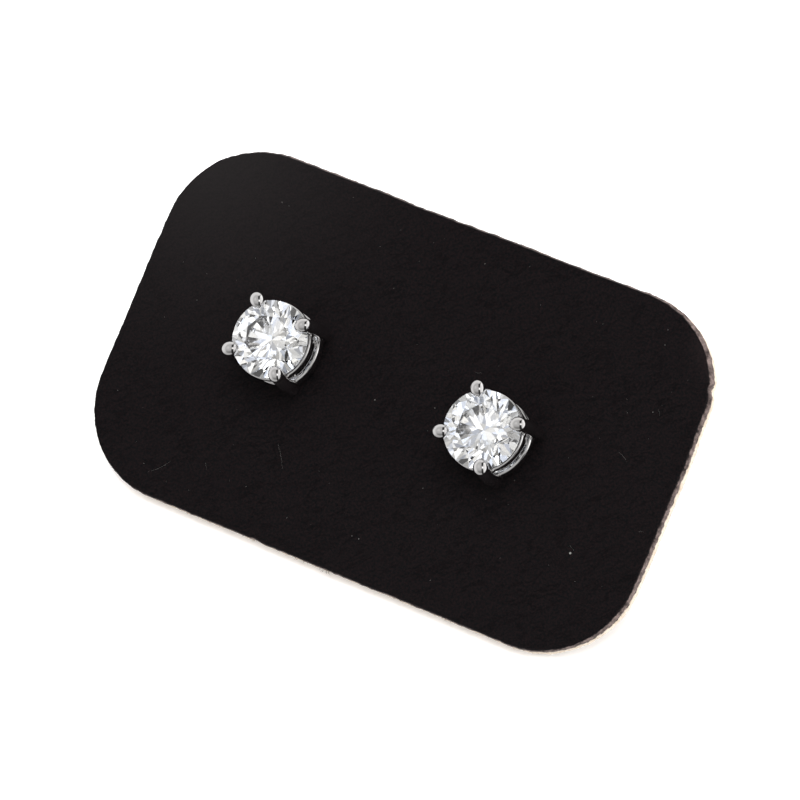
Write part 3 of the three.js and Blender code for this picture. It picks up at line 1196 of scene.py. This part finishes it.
def viewFrom(azimuth, elevation):
    # azimuth from the front towards +x, in degrees
    a, e = math.radians(azimuth), math.radians(elevation)
    return Vector((math.sin(a) * math.cos(e), -math.cos(a) * math.cos(e), math.sin(e)))


def makeCamera():
    made = studio
    camera = bpy.data.cameras.new("camera")
    camera.lens = made["lens"]
    camera.sensor_width = made["sensor"]
    camera.shift_x = made["shiftX"]
    camera.shift_y = made["shiftY"]
    camera.clip_start = 0.001
    camera.clip_end = 20
    rig = bpy.data.objects.new("camera", camera)
    bpy.context.scene.collection.objects.link(rig)
    away = viewFrom(made["azimuth"], made["elevation"])
    rig.location = cardPlace + away * made["distance"]
    rig.rotation_euler = away.to_track_quat("Z", "Y").to_euler()
    bpy.context.scene.camera = rig


def makeTent():
    # a grey tent: brighter to the right and above, with a dark slit in two lengths
    made = studio
    world = bpy.data.worlds.new("lightTent")
    world.use_nodes = True
    tree = world.node_tree
    bpy.context.scene.world = world
    coords = node(tree, "ShaderNodeTexCoord")

    def along(vector):
        dot = node(tree, "ShaderNodeVectorMath", {"operation": "DOT_PRODUCT"})
        link(tree, coords.outputs["Generated"], dot.inputs[0])
        dot.inputs[1].default_value = vector
        return dot.outputs["Value"]

    front = viewFrom(made["azimuth"], made["elevation"])
    right = viewFrom(made["azimuth"] + 90, 0)
    upward = front.cross(right)
    onFront, onRight, onUp = along(front), along(right), along(upward)
    leftPatch = along((front * 0.83 - right * 0.5 + upward * 0.25).normalized())

    def total(*terms):
        result = terms[0]
        for term in terms[1:]:
            result = mathNode(tree, "ADD", result, term)
        return result

    def product(*terms):
        result = terms[0]
        for term in terms[1:]:
            result = mathNode(tree, "MULTIPLY", result, term)
        return result

    def band(value, edges):
        # fades in over the first two edges and out over the last two
        a, b, c, d = edges
        return product(smoothRange(tree, value, a, b), smoothRange(tree, value, c, d, 1.0, 0.0))

    sky = coords.outputs["Generated"]
    rays = node(tree, "ShaderNodeLightPath")
    broad = rangeNode(tree, noiseNode(tree, sky, 2.2, 1.0), 0.3, 0.7, -0.12, 0.12)
    leftGlow = smoothRange(tree, leftPatch, 0.9, 1.0, 0.0, made["tentLeft"])
    topGlow = smoothRange(tree, onUp, 0.72, 0.95, 0.0, made["tentTop"])
    rightSide = smoothRange(tree, onRight, 0.60, 0.74)
    # only light that comes through a stone picks out the folds
    fold = smoothRange(tree, noiseNode(tree, sky, made["foldScale"], 1.0), 0.38, 0.62, *made["folds"])
    through = rays.outputs["Is Transmission Ray"]
    cloth = product(total(broad, made["tentGrey"], leftGlow, topGlow), mixValue(tree, through, 1.0, fold))
    cloth = total(cloth, product(rightSide, made["tentRight"]))
    # the metal mirrors plain cloth with a bright gap between the two lengths of the slit
    mirror = smoothRange(tree, onFront, 0.12, 0.5, made["mirrorEdge"], made["mirrorCentre"])
    mirror = total(mirror, product(broad, 0.3), leftGlow,
                   smoothRange(tree, onUp, -0.95, -0.3, made["mirrorBelow"], 0.0),
                   product(rightSide, made["mirrorRight"]))
    gap = product(band(onRight, made["gapAcross"]), band(onUp, made["gapUp"]))
    mirror = mixValue(tree, gap, mirror, made["glint"])
    # a ray that went through a stone counts as glossy too, so it is taken off
    mirrored = mathNode(tree, "SUBTRACT", rays.outputs["Is Glossy Ray"], through, clamp=True)
    level = mixValue(tree, mirrored, cloth, mirror)
    lengths = total(band(onUp, made["slitUpper"]), band(onUp, made["slitLower"]))
    slit = product(band(onRight, made["slitAcross"]), smoothRange(tree, onFront, -0.25, -0.1), lengths)
    background = tree.nodes["Background"]
    hue = smoothRange(tree, noiseNode(tree, sky, made["foldScale"] * 0.8, 0.0), 0.36, 0.56)
    tinted = mixColor(tree, hue, made["coolTone"], made["warmTone"])
    link(tree, mixColor(tree, through, made["clothTone"], tinted), background.inputs["Color"])
    dark = mixValue(tree, through, made["slit"], made["slitThrough"])
    link(tree, mixValue(tree, slit, level, dark), background.inputs["Strength"])


def makeFloor():
    made = studio
    bm = bmesh.new()
    bmesh.ops.create_grid(bm, x_segments=8, y_segments=8, size=made["floor"] / 2)
    floor = finishMesh(bm, "floor", Matrix.Identity(4))
    material, tree, shader = newMaterial("paleFloor", Roughness=0.8, Specular_IOR_Level=0.1)
    coords = node(tree, "ShaderNodeTexCoord")
    paper = noiseNode(tree, coords.outputs["Object"], 900.0, 2.0)
    link(tree, mixColor(tree, paper, *made["floorTones"]), shader.inputs["Base Color"])
    shader.inputs["Emission Color"].default_value = made["glowTone"]
    shader.inputs["Emission Strength"].default_value = made["floorGlow"]
    material.cycles.emission_sampling = "NONE"  # a faint glow over so large a floor only adds noise
    floor.data.materials.append(material)
    floor.visible_glossy = False  # the metal mirrors the tent, not the lit table
    floor.visible_transmission = False


def makeLamp():
    made = studio["lamp"]
    lamp = bpy.data.lights.new("softTop", "AREA")
    lamp.shape = "DISK"
    lamp.size = made["size"]
    lamp.energy = made["power"]
    rig = bpy.data.objects.new("softTop", lamp)
    bpy.context.scene.collection.objects.link(rig)
    away = viewFrom(made["azimuth"], made["elevation"])
    rig.location = cardPlace + away * made["away"]
    rig.rotation_euler = away.to_track_quat("Z", "Y").to_euler()
    rig.visible_glossy = False
    rig.visible_transmission = False


makeCamera()
print("camera placed")

leather = leatherMaterial()
metal = metalMaterial("setting")
clutchMetal = metalMaterial("clutch")
diamond = diamondMaterial()
darkFibre, tanFibre, dustTone = (fibreMaterial(name) for name in fibres["tones"])
print("materials ready")

card = makeCard()
card.data.materials.append(leather)
ride(card, "black_leather", "display_card")
print("leather card", len(card.data.polygons), "faces")

for stud in studs:
    side = stud["side"]
    mount = makeSetting(stud)
    mount.data.materials.clear()
    mount.data.materials.append(metal)
    ride(mount, "white_metal", "setting_" + side)
    stoneMatrix = toStand @ studMatrix(stud) @ Matrix.Translation((0, 0, brilliant["height"]))
    stone = makeBrilliant("brilliant_" + side, stoneMatrix)
    stone.data.materials.append(diamond)
    ride(stone, "clear_stone", "stone_" + side)
    back = makeClutch(stud)
    back.data.materials.append(clutchMetal)
    ride(back, "clutch_metal", "clutch_" + side)
    print("stud", side, len(mount.data.polygons), "setting faces", len(stone.data.polygons), "stone faces")

for tone, look in (("dark", darkFibre), ("tan", tanFibre)):
    fringe = makeFringe(tone)
    fringe.data.materials.append(look)
    ride(fringe, "black_leather")
specks = makeHairs()
specks.data.materials.append(dustTone)
ride(specks, "black_leather")
print("fibres and dust done")

bpy.context.scene.view_settings.view_transform = "Standard"
makeTent()
makeFloor()
makeLamp()
print("studio set")
